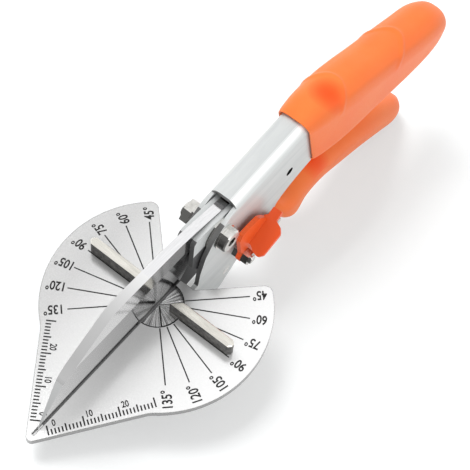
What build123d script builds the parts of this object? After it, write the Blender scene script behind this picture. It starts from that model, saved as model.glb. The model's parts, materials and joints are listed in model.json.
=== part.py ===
from build123d import *
import os
from math import cos, sin, tan, radians, sqrt, pi

os.makedirs("parts", exist_ok=True)

# Mitre shears. Every outline is drawn from the centre of the index disc,
# where the blade's edge crosses the plate: local X runs back to the handles,
# the other axis is square to the plate.

# How the tool stands on a bench, on its keel and on the end of the lower grip
rest_tilt = 10.21
disc_ahead = 44.38
disc_height = 16.97

# Distance from the disc to the middle of the palm, which the side views follow
hand_reach = 100.0

# Anvil plate
plate_thickness = 2.0
tip_reach = 55.2
tip_round = 1.5
lobe_radius = 33.6
shoulder_share = (0.729, 0.649)
shoulder_round_share = 0.238
rear_edge_offset = 4.5
rear_corner_round = 2.5
notch_wall = 1.0
notch_round = 0.8
groove_width = 0.9
groove_depth = 0.8
groove_margin = 3.2

# Index disc and the window that shows it
seat_radius = 9.0
lip_width = 1.5
lip_thickness = 0.7
window_radius = seat_radius - lip_width
disc_thickness = 0.8
flute_count = 36
flute_width = 0.22
flute_depth = 0.12
flute_start = 1.2

# Mitre fences
fence_gap = 0.05
fence_ring_gap = 0.1
foot_edge_clearance = 0.6
fence_face = 0.1
fence_width = 2.7
fence_height = 5.4
fence_inset = 4.7
fence_end = 26.0
fence_end_chamfer = 0.9
fence_top_chamfer = 0.3
fence_rivet_radius = 0.6
fence_rivet_depth = 2.0
fence_rivet_inset = 1.6

# Folded frame that is the upper handle
frame_half = 4.8
sheet = 1.4
frame_edge_radius = 3.5
cross_hole_radius = 1.5

# Brackets that hold the plate on the keel
bracket_sheet = 1.2
bracket_reach = 8.0
bracket_drop = 5.6
bracket_front = 24.0
bracket_back = 9.0
bracket_corner = 5.0
keel_rivet_radius = 1.25
keel_rivet_head = 1.9
keel_rivet_head_height = 0.9

# Blade
blade_thickness = 3.0
blade_sink = 0.5
blade_grind_height = 18.5
blade_grind_back = 18.4
blade_edge_width = 0.06

# Moving lever that carries the blade
lever_sheet = 1.5
blade_rivet_radius = 1.5

# Pivot
bolt_radius = 2.5
bush_wall = 1.0
running_gap = 0.05
thrust_outer_radius = 6.0
bolt_head_radius = 3.7
bolt_head_height = 2.5
socket_radius = 1.7
socket_depth = 1.3
washer_outer_radius = 4.1
washer_thickness = 0.7
nut_flats = 7.0
nut_height = 2.6
bolt_end = 1.0
bolt_end_chamfer = 0.4

# Return spring between the frame and the lever
spring_radius = 2.55
spring_wire = 0.9
spring_turns = 6
seat_disc_radius = 3.0
seat_disc_thickness = 1.0
seat_stud_radius = 1.5
seat_stud_height = 2.2
seat_key_gap = 0.1

# Stop pin and catch pin
stop_pin_radius = 1.5
catch_pin_radius = 1.25
catch_pin_past = 0.1

# Latch
spacer_height = 1.5
latch_gap = 0.1
latch_sheet = 1.5
latch_hub_radius = 2.6
stud_radius = 1.5
stud_past = 0.8
stud_chamfer = 0.3
latch_nut_flats = 4.5
latch_nut_height = 2.2
latch_end_gap = 0.3
latch_face_slope = 33.0
latch_face_up = 1.9
latch_face_down = 2.2

# One overrun for every cut
overrun = 4.0

# Side view places, as shares of the hand reach
pivot_share = (0.225, 0.146)
latch_pivot_share = (0.310, -0.046)
catch_pin_share = (0.480, -0.075)
stop_pin_share = (0.269, -0.126)
cross_hole_share = (0.545, 0.099)
spring_back_share = 0.42
blade_rivet_shares = ((0.160, 0.075), (0.325, 0.160))
keel_rivet_shares = ((-0.16, -0.053), (0.035, -0.053))

# Side view outlines, as shares of the hand reach, each with its corner radius share
frame_top_shares = [
    (0.28, 0.240, 0.0), (0.70, 0.276, 0.6), (1.36, 0.046, 0.0),
]
frame_lower_shares = [
    (1.37, -0.068, 0.02), (1.20, -0.058, 0.3), (1.00, -0.018, 0.3), (0.80, 0.016, 0.3),
    (0.68, 0.025, 0.3), (0.572, 0.006, 0.3), (0.469, -0.035, 0.2), (0.386, -0.079, 0.1),
    (0.335, -0.122, 0.1), (0.247, -0.197, 0.02), (0.175, -0.205, 0.06), (-0.20, -0.090, 0.1),
    (-0.43, -0.036, 0.01),
]
frame_front_shares = [
    (0.127, 0.0, 0.01), (0.132, 0.040, 0.1), (0.150, 0.110, 0.1), (0.186, 0.170, 0.04),
    (0.225, 0.196, 0.1), (0.265, 0.216, 0.02), (0.28, 0.219, 0.0),
]
blade_shares = [
    (-0.402, 0.156, 0.10), (-0.200, 0.266, 0.12), (0.06, 0.252, 0.3), (0.14, 0.239, 0.2),
    (0.26, 0.214, 0.1), (0.345, 0.200, 0.02), (0.350, 0.140, 0.02), (0.30, 0.060, 0.03), (0.125, 0.045, 0.01),
]
blade_point_share = 0.505
blade_heel_share = 0.104
lever_shares = [
    (0.114, 0.224, 0.022), (0.20, 0.220, 0.1), (0.335, 0.198, 0.02), (0.375, 0.090, 0.02), (0.468, 0.090, 0.02),
    (0.562, -0.100, 0.06), (0.76, -0.116, 0.2), (1.00, -0.186, 0.3), (1.15, -0.252, 0.01),
    (1.135, -0.322, 0.01), (1.00, -0.262, 0.3), (0.76, -0.186, 0.2), (0.60, -0.176, 0.1),
    (0.50, -0.145, 0.1), (0.38, -0.060, 0.06), (0.24, 0.020, 0.04), (0.150, 0.030, 0.02),
    (0.114, 0.080, 0.02),
]
lever_web_start_share = 0.40
spring_seat_share = 0.090
latch_shares = [
    (0.292, -0.026, 0.01), (0.273, 0.073, 0.01), (0.281, 0.100, 0.01), (0.319, 0.102, 0.01),
    (0.361, 0.097, 0.015), (0.391, 0.065, 0.01), (0.412, 0.032, 0.02),
]
latch_lower_shares = [
    (0.375, -0.086, 0.02), (0.315, -0.078, 0.0),
]
latch_crease_shares = ((0.328, 0.005), (0.408, 0.043))
latch_flange_shares = [
    (-0.004, -0.014, 0.0), (-0.006, 0.006, 0.004), (-0.020, 0.028, 0.006),
    (-0.024, 0.044, 0.012), (-0.009, 0.057, 0.012), (0.070, 0.061, 0.016),
    (0.086, 0.048, 0.012), (0.095, 0.027, 0.004), (0.126, 0.026, 0.004),
    (0.126, -0.005, 0.004), (0.098, -0.005, 0.004), (0.089, -0.014, 0.0),
]

# Grip sections: top point, bottom point, width and corner, as shares of the hand reach
upper_grip_shares = [
    (0.594, 0.276, 0.668, 0.014, 0.116, 0.040),
    (0.618, 0.280, 0.682, 0.008, 0.128, 0.050),
    (0.680, 0.283, 0.722, -0.006, 0.144, 0.064),
    (0.780, 0.268, 0.790, -0.024, 0.158, 0.074),
    (0.880, 0.240, 0.870, -0.041, 0.160, 0.075),
    (0.990, 0.203, 0.955, -0.056, 0.158, 0.074),
    (1.100, 0.166, 1.060, -0.074, 0.158, 0.073),
    (1.220, 0.124, 1.170, -0.093, 0.158, 0.073),
    (1.330, 0.088, 1.280, -0.106, 0.152, 0.070),
    (1.396, 0.046, 1.356, -0.103, 0.136, 0.062),
    (1.426, 0.008, 1.406, -0.084, 0.104, 0.046),
    (1.440, -0.018, 1.434, -0.056, 0.050, 0.018),
]
lower_grip_shares = [
    (0.530, -0.100, 0.538, -0.158, 0.086, 0.026),
    (0.546, -0.082, 0.564, -0.206, 0.128, 0.052),
    (0.590, -0.074, 0.606, -0.232, 0.144, 0.060),
    (0.660, -0.076, 0.660, -0.208, 0.130, 0.058),
    (0.760, -0.088, 0.748, -0.212, 0.122, 0.054),
    (0.880, -0.120, 0.860, -0.250, 0.122, 0.054),
    (1.000, -0.158, 0.975, -0.290, 0.126, 0.056),
    (1.120, -0.214, 1.095, -0.342, 0.128, 0.057),
    (1.208, -0.270, 1.190, -0.384, 0.126, 0.055),
    (1.258, -0.308, 1.244, -0.393, 0.102, 0.042),
    (1.286, -0.338, 1.281, -0.377, 0.050, 0.019),
]

# The two drawing planes
tool_axis = Vector(cos(radians(rest_tilt)), 0, sin(radians(rest_tilt)))
plate_normal = Vector(-sin(radians(rest_tilt)), 0, cos(radians(rest_tilt)))
disc_centre = Vector(-disc_ahead, 0, disc_height)
side = Plane(origin=disc_centre, x_dir=tool_axis, z_dir=(0, -1, 0))
plate_top = Plane(origin=disc_centre, x_dir=tool_axis, z_dir=plate_normal)
across = Plane(origin=disc_centre, x_dir=(0, 1, 0), z_dir=tool_axis)


def place(share):
    """Side view point of a pair of shares."""
    return (share[0] * hand_reach, share[1] * hand_reach)


def points_of(shares):
    """Side view points of a table of shares."""
    return [place(row) for row in shares]


def radii_of(shares):
    """Corner radii of the same table."""
    return [row[2] * hand_reach for row in shares]


def height_on(shares, back):
    """Height of a straight-run outline at a distance behind the disc."""
    points = points_of(shares)
    for (x0, z0), (x1, z1) in zip(points, points[1:]):
        if min(x0, x1) <= back <= max(x0, x1):
            return z0 + (z1 - z0) * (back - x0) / (x1 - x0)
    return points[-1][1]


def grip_planes(shares):
    """Section planes, widths, heights and corners of a grip from its table of shares."""
    sections = []
    for top_back, top_up, low_back, low_up, width, corner in shares:
        top = side.from_local_coords(Vector(top_back * hand_reach, top_up * hand_reach, 0))
        low = side.from_local_coords(Vector(low_back * hand_reach, low_up * hand_reach, 0))
        rise = top - low
        normal = side.z_dir.cross(rise.normalized())
        plane = Plane(origin=(top + low) * 0.5, x_dir=side.z_dir, z_dir=normal)
        sections.append((plane, width * hand_reach, rise.length, corner * hand_reach))
    return sections


pivot = place(pivot_share)
latch_pivot = place(latch_pivot_share)
catch_pin_at = place(catch_pin_share)
stop_pin_at = place(stop_pin_share)
cross_hole = place(cross_hole_share)
inner_half = frame_half - sheet
blade_half = blade_thickness / 2
lever_half = blade_half + lever_sheet
bush_radius = bolt_radius + bush_wall
lever_bore_radius = bush_radius + running_gap

# Anvil plate: a heart, with a V at the back, the disc window and the edge's groove
tip_point = (-tip_reach, 0)
shoulder_far = lobe_radius
notch_back = seat_radius + notch_wall
notch_half = notch_back - rear_edge_offset
shoulder_back = shoulder_share[0] * lobe_radius
shoulder_out = shoulder_share[1] * lobe_radius
with BuildPart() as anvil_plate:
    with BuildSketch(plate_top.offset(-plate_thickness)) as heart:
        Circle(lobe_radius)
        with BuildLine():
            Polyline(tip_point, (-shoulder_back, shoulder_out), (0, 0),
                     (-shoulder_back, -shoulder_out), tip_point)
        make_face()
        with BuildLine():
            Polyline((notch_back, -notch_half), (notch_back, notch_half),
                     (lobe_radius + rear_edge_offset, lobe_radius),
                     (lobe_radius + rear_edge_offset, -lobe_radius), (notch_back, -notch_half))
        make_face(mode=Mode.SUBTRACT)
        shoulders = [v for v in heart.vertices() if -lobe_radius < v.X < -shoulder_back / 2]
        fillet(shoulders, shoulder_round_share * lobe_radius)
        rear_corners = heart.vertices().sort_by(Axis.X)[-2:]
        fillet(rear_corners, rear_corner_round)
        notch_corners = [v for v in heart.vertices()
                         if abs(v.X - notch_back) < notch_round and abs(v.Y) < window_radius]
        fillet(notch_corners, notch_round)
        fillet(heart.vertices().sort_by(Axis.X)[0], tip_round)
    extrude(amount=plate_thickness)
    with BuildSketch(plate_top):
        Circle(window_radius)
    extrude(amount=-plate_thickness, mode=Mode.SUBTRACT)
    with BuildSketch(plate_top.offset(-plate_thickness)):
        Circle(seat_radius)
    extrude(amount=plate_thickness - lip_thickness, mode=Mode.SUBTRACT)
    groove_length = tip_reach - groove_margin + notch_back + overrun
    groove_middle = (notch_back + overrun - tip_reach + groove_margin) / 2
    with BuildSketch(plate_top.offset(-groove_depth)):
        with Locations((groove_middle, 0)):
            Rectangle(groove_length, groove_width)
    extrude(amount=groove_depth + overrun, mode=Mode.SUBTRACT)
anvil_plate.part.label = "anvil_plate"
export_step(anvil_plate.part, "parts/anvil_plate.step")

# Index disc: fluted face, set under the plate's lip
disc_radius = seat_radius - running_gap
disc_top = plate_thickness - disc_thickness
with BuildPart() as index_disc:
    with BuildSketch(plate_top.offset(-plate_thickness)):
        Circle(disc_radius)
    extrude(amount=disc_thickness)
    flute_length = window_radius - flute_start
    with BuildSketch(plate_top.offset(-disc_top - flute_depth)):
        with PolarLocations(flute_start + flute_length / 2, flute_count):
            Rectangle(flute_length, flute_width)
    extrude(amount=flute_depth + overrun, mode=Mode.SUBTRACT)
index_disc.part.label = "index_disc"
export_step(index_disc.part, "parts/index_disc.step")

# Frame: one sheet folded over the top, with the keel below the plate
frame_front_points = points_of(frame_front_shares)
under_plate = [(frame_lower_shares[-1][0] * hand_reach, -plate_thickness),
               (frame_front_shares[0][0] * hand_reach, -plate_thickness)]
frame_outline = (points_of(frame_top_shares) + points_of(frame_lower_shares)
                 + under_plate + frame_front_points[1:])
frame_radii = (radii_of(frame_top_shares) + radii_of(frame_lower_shares)
               + [0, frame_front_shares[0][2] * hand_reach] + radii_of(frame_front_shares)[1:])
mouth_back = frame_top_shares[0][0] * hand_reach
with BuildPart() as folded_frame:
    with BuildSketch(side):
        with BuildLine():
            FilletPolyline(*frame_outline, radius=frame_radii, close=True)
        make_face()
    extrude(amount=frame_half, both=True)
    ridges = []
    for face in folded_frame.faces():
        centre = side.to_local_coords(face.center())
        if face.normal_at().dot(plate_normal) > 0.8 and centre.X > mouth_back:
            ridges += [e for e in face.edges() if abs(e.center().Y) > inner_half]
    fillet(ridges, frame_edge_radius)
    hollow_top = [(x, z - sheet) for x, z in points_of(frame_top_shares)]
    hollow_front = (hollow_top[0][0] - overrun, hollow_top[0][1])
    hollow_end = (hollow_top[-1][0] + overrun, hollow_top[-1][1] - overrun / 2)
    hollow_low = -hand_reach / 2
    with BuildSketch(side):
        with BuildLine():
            FilletPolyline((-hand_reach, hollow_front[1]), *hollow_top[:-1], hollow_end,
                           (hollow_end[0], hollow_low), (-hand_reach, hollow_low),
                           radius=[0, 0, frame_top_shares[1][2] * hand_reach, 0, 0, 0],
                           close=True)
        make_face()
    extrude(amount=inner_half, both=True, mode=Mode.SUBTRACT)
    with BuildSketch(side):
        with Locations(pivot):
            Circle(bolt_radius)
        with Locations(cross_hole):
            Circle(cross_hole_radius)
        with Locations(stop_pin_at):
            Circle(stop_pin_radius)
        with Locations(*[place(share) for share in keel_rivet_shares]):
            Circle(keel_rivet_radius)
    extrude(amount=frame_half + overrun, both=True, mode=Mode.SUBTRACT)
    with BuildSketch(side):
        with Locations(latch_pivot):
            Circle(stud_radius)
    extrude(amount=frame_half + overrun, mode=Mode.SUBTRACT)

# The frame in two nodes, parted across both walls where the plate's notch ends
parting = across.offset(frame_front_shares[0][0] * hand_reach)
with BuildPart() as frame_keel:
    add(folded_frame.part)
    split(bisect_by=parting, keep=Keep.BOTTOM)
frame_keel.part.label = "frame_keel"
export_step(frame_keel.part, "parts/frame_keel.step")

with BuildPart() as handle_frame:
    add(folded_frame.part)
    split(bisect_by=parting, keep=Keep.TOP)
handle_frame.part.label = "handle_frame"
export_step(handle_frame.part, "parts/handle_frame.step")


def make_bracket(name, hand):
    """Angle bracket between the keel and the plate, hand is 1 on the left."""
    with BuildPart() as bracket:
        wall_at = frame_half + bracket_sheet / 2
        shelf_at = frame_half + bracket_reach / 2
        drop_at = -plate_thickness - bracket_drop / 2
        with BuildSketch(across.offset(-bracket_front)):
            with Locations((hand * wall_at, drop_at)):
                Rectangle(bracket_sheet, bracket_drop)
            with Locations((hand * shelf_at, -plate_thickness - bracket_sheet / 2)):
                Rectangle(bracket_reach, bracket_sheet)
        extrude(amount=bracket_front + bracket_back)
        outer = [e for e in bracket.edges().filter_by(Axis(disc_centre, plate_normal))
                 if abs(e.center().Y) > shelf_at]
        chamfer(outer, bracket_corner)
        with BuildSketch(side):
            with Locations(*[place(share) for share in keel_rivet_shares]):
                Circle(keel_rivet_radius)
        extrude(amount=frame_half + bracket_reach, both=True, mode=Mode.SUBTRACT)
    bracket.part.label = name
    export_step(bracket.part, f"parts/{name}.step")
    return bracket.part


bracket_left = make_bracket("anvil_bracket_left", 1)
bracket_right = make_bracket("anvil_bracket_right", -1)

# Keel rivets: each one clamps both brackets and both walls
with BuildPart() as keel_rivets:
    for share in keel_rivet_shares:
        with BuildSketch(side):
            with Locations(place(share)):
                Circle(keel_rivet_radius)
        extrude(amount=frame_half + bracket_sheet, both=True)
        for hand in (1, -1):
            with BuildSketch(side.offset(hand * (frame_half + bracket_sheet))):
                with Locations(place(share)):
                    Circle(keel_rivet_head)
            extrude(amount=hand * keel_rivet_head_height)
keel_rivets.part.label = "keel_rivets"
export_step(keel_rivets.part, "parts/keel_rivets.step")


def make_grip(name, shares, core):
    """Soft grip lofted over its sections, with the metal core taken out of it."""
    with BuildPart() as grip:
        for plane, width, height, corner in grip_planes(shares):
            with BuildSketch(plane):
                RectangleRounded(width, height, corner)
        loft()
        add(core, mode=Mode.SUBTRACT)
    grip.part.label = name
    export_step(grip.part, f"parts/{name}.step")
    return grip.part


upper_grip = make_grip("upper_grip", upper_grip_shares, handle_frame.part)

# Blade: a thick back, ground on both sides from above half height to the edge
blade_outline = ([(-blade_point_share * hand_reach, -blade_sink)] + points_of(blade_shares)
                 + [(blade_heel_share * hand_reach, -blade_sink)])
blade_radii = [0] + radii_of(blade_shares) + [0]
with BuildPart() as blade:
    with BuildSketch(side):
        with BuildLine():
            FilletPolyline(*blade_outline, radius=blade_radii, close=True)
        make_face()
    extrude(amount=blade_half, both=True)
    grind_start = blade_point_share * hand_reach + overrun
    with BuildSketch(across.offset(-grind_start)):
        for hand in (1, -1):
            with BuildLine():
                Polyline((hand * blade_edge_width / 2, -blade_sink),
                         (hand * blade_half, blade_grind_height - blade_sink),
                         (hand * (blade_half + overrun), blade_grind_height - blade_sink),
                         (hand * (blade_half + overrun), -blade_sink - overrun),
                         (hand * blade_edge_width / 2, -blade_sink - overrun),
                         (hand * blade_edge_width / 2, -blade_sink))
            make_face()
    extrude(amount=grind_start + blade_grind_back, mode=Mode.SUBTRACT)
    with BuildSketch(side):
        with Locations(pivot):
            Circle(lever_bore_radius)
        with Locations(*[place(share) for share in blade_rivet_shares]):
            Circle(blade_rivet_radius)
    extrude(amount=blade_half + overrun, both=True, mode=Mode.SUBTRACT)
blade.part.label = "blade"
export_step(blade.part, "parts/blade.step")

# Lever: two cheeks that hug the blade, joined by a web along the lower handle
lever_points = points_of(lever_shares)
web_start = lever_web_start_share * hand_reach
web_run = [p for p in lever_points[9:15]]
with BuildPart() as handle_lever:
    with BuildSketch(side):
        with BuildLine():
            FilletPolyline(*lever_points, radius=radii_of(lever_shares), close=True)
        make_face()
    extrude(amount=lever_half, both=True)
    web_top = [(x, z + lever_sheet) for x, z in web_run if x > web_start]
    web_edge = (web_start, height_on(lever_shares[9:15], web_start) + lever_sheet)
    slot_end = (web_top[0][0] + overrun, web_top[0][1])
    with BuildSketch(side):
        with BuildLine():
            Polyline(slot_end, *web_top[0:], web_edge, (web_start, -hand_reach / 2),
                     (0, -hand_reach / 2), (0, hand_reach / 2),
                     (slot_end[0], hand_reach / 2), slot_end)
        make_face()
    extrude(amount=blade_half, both=True, mode=Mode.SUBTRACT)
    with BuildSketch(side):
        with Locations(pivot):
            Circle(lever_bore_radius)
        with Locations(*[place(share) for share in blade_rivet_shares]):
            Circle(blade_rivet_radius)
        with Locations(catch_pin_at):
            Circle(catch_pin_radius)
    extrude(amount=lever_half + overrun, both=True, mode=Mode.SUBTRACT)
handle_lever.part.label = "handle_lever"
export_step(handle_lever.part, "parts/handle_lever.step")

lower_grip = make_grip("lower_grip", lower_grip_shares, handle_lever.part)

# Blade rivets, flush with the cheeks
with BuildPart() as blade_rivets:
    with BuildSketch(side):
        with Locations(*[place(share) for share in blade_rivet_shares]):
            Circle(blade_rivet_radius)
    extrude(amount=lever_half, both=True)
blade_rivets.part.label = "blade_rivets"
export_step(blade_rivets.part, "parts/blade_rivets.step")

# Catch pin: crosses the lever and stands out on the latch's side
latch_face = frame_half + spacer_height + latch_gap
catch_pin_length = lever_half + latch_face + latch_sheet + catch_pin_past
with BuildPart() as catch_pin:
    with BuildSketch(side.offset(-lever_half)):
        with Locations(catch_pin_at):
            Circle(catch_pin_radius)
    extrude(amount=catch_pin_length)
catch_pin.part.label = "catch_pin"
export_step(catch_pin.part, "parts/catch_pin.step")

# Stop pin between the keel walls, flush with them
with BuildPart() as stop_pin:
    with BuildSketch(side):
        with Locations(stop_pin_at):
            Circle(stop_pin_radius)
    extrude(amount=frame_half, both=True)
stop_pin.part.label = "stop_pin"
export_step(stop_pin.part, "parts/stop_pin.step")

# Pivot: bush between the walls, thrust washers, shoulder bolt, washers and nut
with BuildPart() as pivot_bush:
    with BuildSketch(side):
        with Locations(pivot):
            Circle(bush_radius)
            Circle(bolt_radius, mode=Mode.SUBTRACT)
    extrude(amount=inner_half, both=True)
pivot_bush.part.label = "pivot_bush"
export_step(pivot_bush.part, "parts/pivot_bush.step")

with BuildPart() as thrust_washers:
    for hand in (1, -1):
        with BuildSketch(side.offset(hand * lever_half)):
            with Locations(pivot):
                Circle(thrust_outer_radius)
                Circle(bush_radius, mode=Mode.SUBTRACT)
        extrude(amount=hand * (inner_half - lever_half))
thrust_washers.part.label = "thrust_washers"
export_step(thrust_washers.part, "parts/thrust_washers.step")

with BuildPart() as pivot_washers:
    for hand in (1, -1):
        with BuildSketch(side.offset(hand * frame_half)):
            with Locations(pivot):
                Circle(washer_outer_radius)
                Circle(bolt_radius, mode=Mode.SUBTRACT)
        extrude(amount=hand * washer_thickness)
pivot_washers.part.label = "pivot_washers"
export_step(pivot_washers.part, "parts/pivot_washers.step")

bolt_seat = frame_half + washer_thickness
bolt_left_end = bolt_seat + nut_height + bolt_end
with BuildPart() as pivot_bolt:
    with BuildSketch(side.offset(-bolt_left_end)):
        with Locations(pivot):
            Circle(bolt_radius)
    extrude(amount=bolt_left_end + bolt_seat)
    with BuildSketch(side.offset(bolt_seat)):
        with Locations(pivot):
            Circle(bolt_head_radius)
    extrude(amount=bolt_head_height)
    ends = pivot_bolt.faces().sort_by(Axis.Y)
    chamfer(ends[0].edges(), bolt_end_chamfer)
    chamfer(ends[-1].edges(), bolt_end_chamfer)
    with BuildSketch(side.offset(bolt_seat + bolt_head_height - socket_depth)):
        with Locations(pivot):
            RegularPolygon(socket_radius, 6)
    extrude(amount=socket_depth + overrun, mode=Mode.SUBTRACT)
pivot_bolt.part.label = "pivot_bolt"
export_step(pivot_bolt.part, "parts/pivot_bolt.step")

with BuildPart() as pivot_nut:
    with BuildSketch(side.offset(-bolt_seat)):
        with Locations(pivot):
            RegularPolygon(nut_flats / 2, 6, major_radius=False)
            Circle(bolt_radius, mode=Mode.SUBTRACT)
    extrude(amount=-nut_height)
pivot_nut.part.label = "pivot_nut"
export_step(pivot_nut.part, "parts/pivot_nut.step")

# Return spring with its two seats
spring_back = spring_back_share * hand_reach
seat_low = spring_seat_share * hand_reach
web_under = height_on(frame_top_shares, spring_back) - sheet
spring_top_plane = plate_top.offset(web_under)
spring_low_plane = plate_top.offset(seat_low)
with BuildPart() as spring_seat_lower:
    with BuildSketch(spring_low_plane):
        with Locations((spring_back, 0)):
            Circle(seat_disc_radius)
    extrude(amount=seat_disc_thickness)
    with BuildSketch(spring_low_plane.offset(seat_disc_thickness)):
        with Locations((spring_back, 0)):
            Circle(seat_stud_radius)
    extrude(amount=seat_stud_height)
    key_width = blade_thickness - seat_key_gap * 2
    with BuildSketch(spring_low_plane):
        with Locations((spring_back, 0)):
            Rectangle(seat_disc_radius, key_width)
    extrude(amount=-seat_stud_height)
spring_seat_lower.part.label = "spring_seat_lower"
export_step(spring_seat_lower.part, "parts/spring_seat_lower.step")

with BuildPart() as spring_seat_upper:
    seat_plane = spring_top_plane.offset(-seat_disc_thickness)
    with BuildSketch(seat_plane):
        with Locations((spring_back, 0)):
            Circle(seat_disc_radius)
    extrude(amount=seat_disc_thickness + overrun)
    with BuildSketch(seat_plane):
        with Locations((spring_back, 0)):
            Circle(seat_stud_radius)
    extrude(amount=-seat_stud_height)
    add(handle_frame.part, mode=Mode.SUBTRACT)
upper_seat = spring_seat_upper.part.solids().sort_by(Axis(disc_centre, plate_normal))[0]
upper_seat.label = "spring_seat_upper"
export_step(upper_seat, "parts/spring_seat_upper.step")

# The spring's wire runs up a helix, drawn as two tangent arcs for each quarter turn
coil_low = seat_low + seat_disc_thickness + spring_wire / 2
coil_high = web_under - seat_disc_thickness - spring_wire / 2
coil_pitch = (coil_high - coil_low) / spring_turns


def coil_point(turn):
    """Point of the spring's helix after a number of turns."""
    angle = 2 * pi * turn
    return plate_top.from_local_coords(Vector(
        spring_back + spring_radius * cos(angle), spring_radius * sin(angle),
        coil_low + coil_pitch * turn))


def coil_direction(turn):
    """Unit tangent of the helix at the same place."""
    angle = 2 * pi * turn
    rise = coil_pitch / (2 * pi)
    ahead = (tool_axis * (-spring_radius * sin(angle)) + Vector(0, 1, 0) * (spring_radius * cos(angle))
             + plate_normal * rise)
    return ahead.normalized()


with BuildPart() as return_spring:
    with BuildLine() as coil_path:
        quarter = 1 / 4
        for step in range(spring_turns * 4):
            start, end = coil_point(step * quarter), coil_point((step + 1) * quarter)
            away, home = coil_direction(step * quarter), coil_direction((step + 1) * quarter)
            chord, both = end - start, away + home
            slack = 2 * (1 - away.dot(home))
            along = chord.dot(both)
            reach = (sqrt(along * along + slack * chord.dot(chord)) - along) / slack
            near, far = start + away * reach, end - home * reach
            middle = (near + far) * 0.5
            TangentArc(start, middle, tangent=away)
            TangentArc(middle, end, tangent=(far - near).normalized())
    with BuildSketch(Plane(origin=coil_point(0), z_dir=coil_direction(0))):
        Circle(spring_wire / 2)
    sweep(path=coil_path.wires()[0])
return_spring.part.label = "return_spring"
export_step(return_spring.part, "parts/return_spring.step")
print("least gap between spring turns", round(coil_pitch - spring_wire, 2))

# Latch: a leaf beside the wall, a thumb flange and an arm whose end meets the catch pin
slope = radians(latch_face_slope)
face_down = Vector(-sin(slope), -cos(slope))
face_out = Vector(cos(slope), -sin(slope))
pin_centre = Vector(*catch_pin_at)
face_middle = pin_centre - face_out * (catch_pin_radius + latch_end_gap)
arm_top = face_middle - face_down * latch_face_up
arm_low = face_middle + face_down * latch_face_down
latch_points = (points_of(latch_shares) + [(arm_top.X, arm_top.Y), (arm_low.X, arm_low.Y)]
                + points_of(latch_lower_shares))
arm_round = latch_sheet / 3
latch_radii = radii_of(latch_shares) + [arm_round, arm_round] + radii_of(latch_lower_shares)
latch_outer = latch_face + latch_sheet
crease_front, crease_back = [side.from_local_coords(Vector(*place(share), latch_outer))
                             for share in latch_crease_shares]
crease_run = (crease_back - crease_front).normalized()
flange_plane = Plane(origin=crease_front, x_dir=crease_run, z_dir=crease_run.cross(side.z_dir))
with BuildPart() as latch_lever:
    with BuildSketch(side.offset(latch_face)):
        with BuildLine():
            FilletPolyline(*latch_points, radius=latch_radii, close=True)
        make_face()
        with Locations(latch_pivot):
            Circle(latch_hub_radius)
    extrude(amount=latch_sheet)
    with BuildSketch(flange_plane):
        with BuildLine():
            FilletPolyline(*points_of(latch_flange_shares), radius=radii_of(latch_flange_shares),
                           close=True)
        make_face()
    extrude(amount=latch_sheet)
    with BuildSketch(side.offset(latch_face)):
        with Locations(latch_pivot):
            Circle(stud_radius + running_gap)
    extrude(amount=latch_sheet + overrun, mode=Mode.SUBTRACT)
latch_lever.part.label = "latch_lever"
export_step(latch_lever.part, "parts/latch_lever.step")

stud_end = latch_outer + latch_gap + latch_nut_height + stud_past
with BuildPart() as latch_stud:
    with BuildSketch(side.offset(inner_half)):
        with Locations(latch_pivot):
            Circle(stud_radius)
    extrude(amount=stud_end - inner_half)
    chamfer(latch_stud.faces().sort_by(Axis.Y)[0].edges(), stud_chamfer)
latch_stud.part.label = "latch_stud"
export_step(latch_stud.part, "parts/latch_stud.step")


def make_latch_nut(name, start, height):
    """Thin hexagon on the latch's stud."""
    with BuildPart() as nut:
        with BuildSketch(side.offset(start)):
            with Locations(latch_pivot):
                RegularPolygon(latch_nut_flats / 2, 6, major_radius=False)
                Circle(stud_radius, mode=Mode.SUBTRACT)
        extrude(amount=height)
    nut.part.label = name
    export_step(nut.part, f"parts/{name}.step")


make_latch_nut("latch_spacer_nut", frame_half, spacer_height)
make_latch_nut("latch_nut", latch_outer + latch_gap, latch_nut_height)


fence_start = seat_radius - fence_inset


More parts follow.
